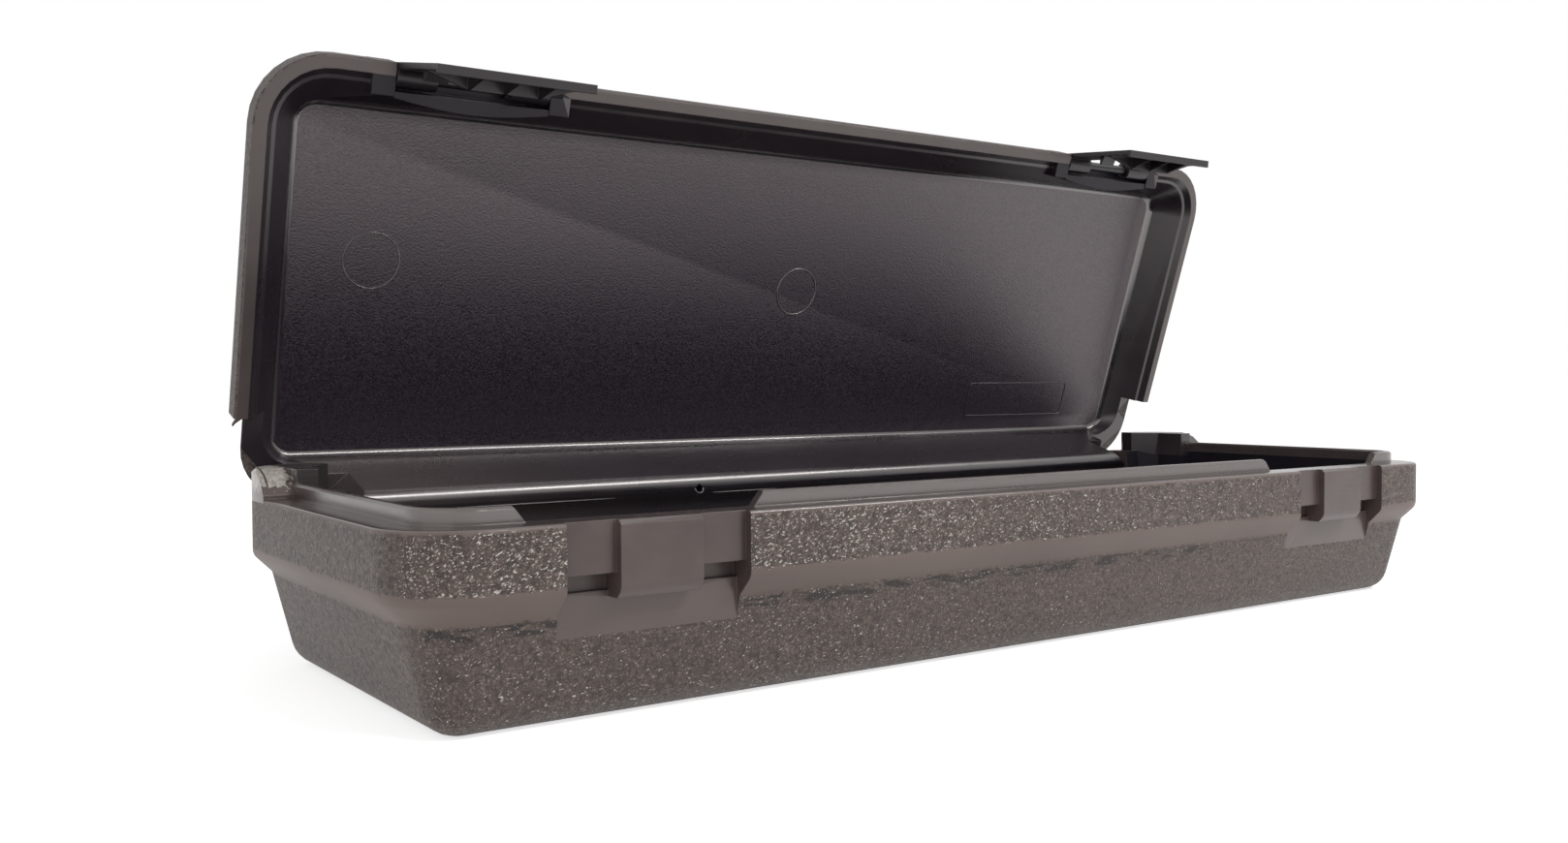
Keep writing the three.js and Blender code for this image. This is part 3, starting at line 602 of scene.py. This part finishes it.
def base_finish(place, direction):
    if place.z > POST_FOOT and place.y > POST_FRONT and abs(place.x) > POST_INNER:
        return inner_plastic if place.x > 0 else torn_plastic
    if place.z > TONGUE_FOOT and place.y < POST_FRONT:
        return tongue_plastic
    in_bay = place.y < BAY_BACK and abs(abs(place.x) - BAY_CENTRE) < BASE_BAY_HALF
    if in_bay and place.z > CATCH_FOOT:
        return recess_plastic
    depth, out = inset_of(place)
    outward = direction.dot(out) > 0.2
    wall = 0.0 if place.z > BAND_FOOT else WALL_INSET + max(0.0, WALL_HEAD - place.z) * WALL_SLOPE
    deepest = max(wall, WALL_INSET) + FOOT_INSET * (place.z < FOOT_HEIGHT) + SLACK
    if outward and place.z < TONGUE_FOOT and depth < deepest:
        sunk = depth > wall + RECESS_DEPTH
        in_recess = place.y < RECESS_BACK and sunk and place.z > RECESS_FOOT
        return recess_plastic if in_recess else leather_plastic
    behind_recess = outward and place.y < RECESS_BACK and depth < RECESS_BOTTOM
    # The deep inside gets the nearly black painted shade.
    if depth > SKIN_DEPTH and place.z < RIM_TOP and not behind_recess:
        return painted_shade_plastic
    return torn_plastic


base_finishes = [
    leather_plastic, torn_plastic, painted_shade_plastic, inner_plastic, recess_plastic, tongue_plastic]
base_skin = smooth_copy("base_shell", base_finishes, base_finish)
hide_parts("base_shell")
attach(base_skin, "base")

# %% [markdown]
# The lid leans in the frame, which would make every test of a place a slanted one. So each point
# is first turned back about the hinge, as if the lid were shut, where its walls lie along the
# axes. The narrow slope round the panel is one flat strip in the CAD. A rounded one would need
# many more faces, so its shading is bent instead, from the direction of one neighbour to that of
# the other.

# %% The lid: turning it shut, and the panel's edge
HINGE = Vector((0, 77.5, 43.9))
LID_ANGLE = math.radians(72.6)
PANEL_INSET = 12
EDGE_FOOT, EDGE_HEAD = 70.5, 72.9
EDGE_FLATTEST, EDGE_STEEPEST = -0.92, -0.62

lean = Matrix.Rotation(LID_ANGLE, 4, "X")
to_shut = Matrix.Translation(HINGE) @ lean @ Matrix.Translation(-HINGE)
turn_to_shut = to_shut.to_3x3()
to_open = to_shut.inverted()


def panel_edge(shut, facing):
    """True on the narrow slope all round the panel."""
    sloping = EDGE_FLATTEST < facing.z < EDGE_STEEPEST
    return EDGE_FOOT < shut.z < EDGE_HEAD and sloping and inset_of(shut)[0] > PANEL_INSET


def on_panel_edge(face):
    """The same test for a face of the finished mesh, in metres."""
    return panel_edge(to_shut @ (face.center / MM), turn_to_shut @ face.normal)


def round_off(piece, chosen):
    """Gives each corner of the chosen faces the direction of the largest face beside it."""
    mesh = piece.data
    largest = {}
    for face in mesh.polygons:
        if not chosen(face):
            for corner in face.vertices:
                if corner not in largest or face.area > largest[corner].area:
                    largest[corner] = face
    normals = [Vector(corner.vector) for corner in mesh.corner_normals]
    for face in filter(chosen, mesh.polygons):
        for loop in face.loop_indices:
            neighbour = largest.get(mesh.loops[loop].vertex_index)
            if neighbour is not None:
                normals[loop] = Vector(neighbour.normal)
    mesh.normals_split_custom_set(normals)
    print(piece.name, "rounded off", sum(map(chosen, mesh.polygons)), "faces")


# %% [markdown]
# The lid has more finishes than the base: grain outside, a bare rim, dark walls, the sandy panel,
# a glossy hinge bar, the panel's bright edge, and painted shade, nearly black, in the deep places
# behind the latches.

# %% The lid: its finishes
LID_BAY_HALF, BAR_FRONT, BAR_HALF, BAR_TOP = 34, 60, 202, 70
RIM_HEIGHT, RIM_WIDTH, BAY_DEPTH = 56.2, 6.3, 3
PANEL_FOOT, SIDE_INSET, ROUND_INSET, ROUND_FOOT = 73, 7, 8, 64


def lid_finish(place, direction):
    shut, facing = to_shut @ place, turn_to_shut @ direction
    depth, out = inset_of(shut)
    if panel_edge(shut, facing):
        return edge_plastic
    in_bay = shut.y < BAY_BACK and abs(abs(shut.x) - BAY_CENTRE) < LID_BAY_HALF
    # Behind the latches: nearly black painted shade.
    if in_bay and shut.z < BAR_TOP and depth > BAY_DEPTH:
        return painted_shade_plastic
    if shut.z > PANEL_FOOT and facing.z < -0.9 and depth > PANEL_INSET:
        return panel_plastic
    if shut.y > BAR_FRONT and shut.z < BAR_TOP and abs(shut.x) < BAR_HALF:
        return bar_plastic
    if depth < RIM_WIDTH and shut.z < RIM_HEIGHT:
        return bare_plastic
    on_side = depth < SIDE_INSET and facing.dot(out) > 0.3
    on_round = depth < ROUND_INSET and shut.z > ROUND_FOOT
    return lid_leather_plastic if on_side or on_round or facing.z > 0.5 else inner_plastic


lid_finishes = [
    lid_leather_plastic, bare_plastic, inner_plastic, panel_plastic, bar_plastic, edge_plastic,
    painted_shade_plastic]
lid_skin = smooth_copy("lid_shell", lid_finishes, lid_finish)
round_off(lid_skin, on_panel_edge)
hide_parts("lid_shell")
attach(lid_skin, "lid")

# %% [markdown]
# The mould left marks in the lid: two round marks in a row on the panel, a raised frame round a
# bare field, the collar of the blow hole, the parting line under the hinge bar, and a curl of
# flash at the left end. A bump could draw them, but they catch the light from every side, so they
# are thin beads of real faces. The two rings are alike, and so Geometry Nodes make the row: a
# circle is swept along a larger one, and put on each point of a line.

# %% Round marks on the panel
PANEL_HEIGHT = 73.5
MARKS_START, MARKS_SLANT = (-183, -8, PANEL_HEIGHT), math.radians(1.4)


def ring_row():
    """Geometry Nodes: so many rings in a row."""
    group = bpy.data.node_groups.new("ring_row", "GeometryNodeTree")
    sides = group.interface
    sides.new_socket("Geometry", in_out="OUTPUT", socket_type="NodeSocketGeometry")
    sides.new_socket("Count", in_out="INPUT", socket_type="NodeSocketInt")
    for name in ("Spacing", "Ring Radius", "Bead Radius"):
        sides.new_socket(name, in_out="INPUT", socket_type="NodeSocketFloat")
    sides.new_socket("Finish", in_out="INPUT", socket_type="NodeSocketMaterial")

    def step(kind, feeds, **settings):
        return node(group, kind, feeds, **settings).outputs[0]

    given = node(group, "NodeGroupInput").outputs
    apart = step("ShaderNodeCombineXYZ", {"X": given["Spacing"]})
    row = step("GeometryNodeMeshLine", {"Count": given["Count"], "Offset": apart}, mode="OFFSET")
    circle = "GeometryNodeCurvePrimitiveCircle"
    ring = step(circle, {"Resolution": 64, "Radius": given["Ring Radius"]})
    section = step(circle, {"Resolution": 8, "Radius": given["Bead Radius"]})
    swept = step("GeometryNodeCurveToMesh", {"Curve": ring, "Profile Curve": section})
    placed = step("GeometryNodeInstanceOnPoints", {"Points": row, "Instance": swept})
    real = step("GeometryNodeRealizeInstances", {"Geometry": placed})
    painted = step("GeometryNodeSetMaterial", {"Geometry": real, "Material": given["Finish"]})
    node(group, "NodeGroupOutput", {"Geometry": painted})
    return group


def from_nodes(name, group, values):
    """The mesh that a node group makes with these values, as a piece in the group's own frame."""
    piece = bpy.data.objects.new(name, bpy.data.meshes.new(name))
    bpy.context.collection.objects.link(piece)
    modifier = piece.modifiers.new("nodes", "NODES")
    modifier.node_group = group
    for item in group.interface.items_tree:
        if item.in_out == "INPUT":
            modifier[item.identifier] = values[item.name]
    evaluated = piece.evaluated_get(bpy.context.evaluated_depsgraph_get())
    mesh = bpy.data.meshes.new_from_object(evaluated)
    piece.modifiers.remove(modifier)
    piece.data = mesh
    return piece


def mark(piece):
    """What every mark shares: it is smooth, and rides on the lid."""
    for face in piece.data.polygons:
        face.use_smooth = True
    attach(piece, "lid")
    print(piece.name, len(piece.data.polygons), "faces")


row_values = {"Count": 2, "Spacing": 185.0, "Ring Radius": 10.0, "Bead Radius": 0.30}
round_marks = from_nodes("panel_round_marks", ring_row(), {**row_values, "Finish": edge_plastic})
on_panel = Matrix.Translation(MARKS_START) @ Matrix.Rotation(MARKS_SLANT, 4, "Z")
round_marks.data.transform(Matrix.Scale(MM, 4) @ to_open @ on_panel)
mark(round_marks)

# %% [markdown]
# The other marks each follow a path of their own: a box with rounded corners for the frame round
# the bare field, a small circle for the collar, a line for the parting line and a curl for the
# flash. A curve with a bevel would do, but it can't grow thinner at the ends as simply. So one
# function lays rings of eight corners along a path and skins them.

# %% Beads along a path
SIDES = 8


def bead(name, path, facing, thick, finish, closed=False):
    """A round bead along a path in mm. Facing is square to the path, and thick is its radii."""
    made = bmesh.new()
    rings = []
    for index, point in enumerate(path):
        before = path[index - 1] if closed or index > 0 else point
        after = path[(index + 1) % len(path)] if closed or index < len(path) - 1 else point
        side = (after - before).cross(facing).normalized()
        around = [math.radians(360 / SIDES * turn) for turn in range(SIDES)]
        spokes = [side * math.cos(a) + facing * math.sin(a) for a in around]
        rings.append([made.verts.new((point + spoke * thick[index]) * MM) for spoke in spokes])
    pairs = list(zip(rings, rings[1:])) + ([(rings[-1], rings[0])] if closed else [])
    for first, second in pairs:
        for turn in range(SIDES):
            made.faces.new((first[turn], first[turn - 1], second[turn - 1], second[turn]))
    if not closed:
        made.faces.new(rings[0])
        made.faces.new(rings[-1])
    bmesh.ops.recalc_face_normals(made, faces=made.faces)
    mesh = bpy.data.meshes.new(name)
    made.to_mesh(mesh)
    made.free()
    mesh.materials.append(finish)
    piece = bpy.data.objects.new(name, mesh)
    bpy.context.collection.objects.link(piece)
    mark(piece)


# %% The frame round the bare field
FIELD_LOW, FIELD_HIGH, FIELD_CORNER = (116.2, 38.3), (183.4, 55.0), 1.6
FIELD_BEAD, CORNER_STEPS = 0.3, 5


def rounded_box(low, high, corner):
    """The outline of a box with rounded corners, as (x, y) places."""
    (left, front), (right, back) = low, high
    starts = ((right, back, 0), (left, back, 90), (left, front, 180), (right, front, 270))
    for x, y, start in starts:
        x += corner if x == left else -corner
        y += corner if y == front else -corner
        for step in range(CORNER_STEPS + 1):
            angle = math.radians(start + 90 * step / CORNER_STEPS)
            yield x + corner * math.cos(angle), y + corner * math.sin(angle)


panel_out = (to_open.to_3x3() @ Vector((0, 0, -1))).normalized()
outline = rounded_box(FIELD_LOW, FIELD_HIGH, FIELD_CORNER)
field = [to_open @ Vector((x, y, PANEL_HEIGHT)) for x, y in outline]
bead("panel_bare_frame", field, panel_out, [FIELD_BEAD] * len(field), panel_plastic, closed=True)

# %% The collar of the blow hole
HOLE, HOLE_AXIS = Vector((-57.8, 65.5, 49.25)), Vector((0, -0.9135, 0.4067))
COLLAR_RADIUS, COLLAR_BEAD, COLLAR_SUNK, COLLAR_POINTS = 1.9, 0.32, 0.2, 24

across, up = Vector((1, 0, 0)), HOLE_AXIS.cross(Vector((1, 0, 0)))
around = [math.radians(360 / COLLAR_POINTS * step) for step in range(COLLAR_POINTS)]
collar = [HOLE + (across * math.cos(a) + up * math.sin(a)) * COLLAR_RADIUS for a in around]
collar = [place - HOLE_AXIS * COLLAR_SUNK for place in collar]
thick = [COLLAR_BEAD] * COLLAR_POINTS
bead("blow_hole_collar", collar, HOLE_AXIS, thick, collar_plastic, closed=True)

# %% The parting line, laid on the nearest place of the lid's skin
PARTING_SPANS = ((-165, -95), (-51, -19))
PARTING_NEAR, PARTING_OUT = (66.5, 47.0), Vector((0, -0.3, -0.954))
PARTING_RADIUS, STEPS = 0.2, 16

surface = BVHTree.FromObject(lid_skin, bpy.context.evaluated_depsgraph_get())
for number, (start, stop) in enumerate(PARTING_SPANS):
    places = [start + (stop - start) * step / STEPS for step in range(STEPS + 1)]
    line = [surface.find_nearest(Vector((x, *PARTING_NEAR)) * MM)[0] / MM for x in places]
    along = [(step + 0.6) / (STEPS + 1.2) for step in range(STEPS + 1)]
    thick = [PARTING_RADIUS * math.sin(math.pi * share) ** 0.4 for share in along]
    # The parting line is a real ridge; its pale colour is a painted highlight.
    bead(f"parting_line_{number + 1}", line, PARTING_OUT, thick, ridge_highlight_plastic)

# %% The curl of flash, which grows thinner to its tip
CURL = [
    (-226.0, 43.4, 60.0), (-227.2, 45.0, 60.4), (-228.5, 46.2, 60.5), (-229.3, 47.1, 60.0),
    (-229.5, 47.4, 59.2)]
CURL_RADII = [0.9, 0.75, 0.6, 0.4, 0.15]
curl = [to_open @ Vector(place) for place in CURL]
bead("flash_curl", curl, panel_out, CURL_RADII, leather_plastic)

# %% [markdown]
# The latches are moulded from a darker, smoother plastic, each in one piece and of one finish.
# They are copied from the CAD as the shells are, each on a body of its own, so that they can
# turn.

# %% The latches and the pins
for side in ("left", "right"):
    latch_skin = smooth_copy(f"latch_{side}", [latch_plastic], lambda *face: latch_plastic)
    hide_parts(f"latch_{side}")
    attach(latch_skin, f"{side}_latch")
    for pin in (f"hinge_pin_{side}", f"latch_pin_{side}"):
        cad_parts[pin].data.materials.clear()
        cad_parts[pin].data.materials.append(pin_steel)
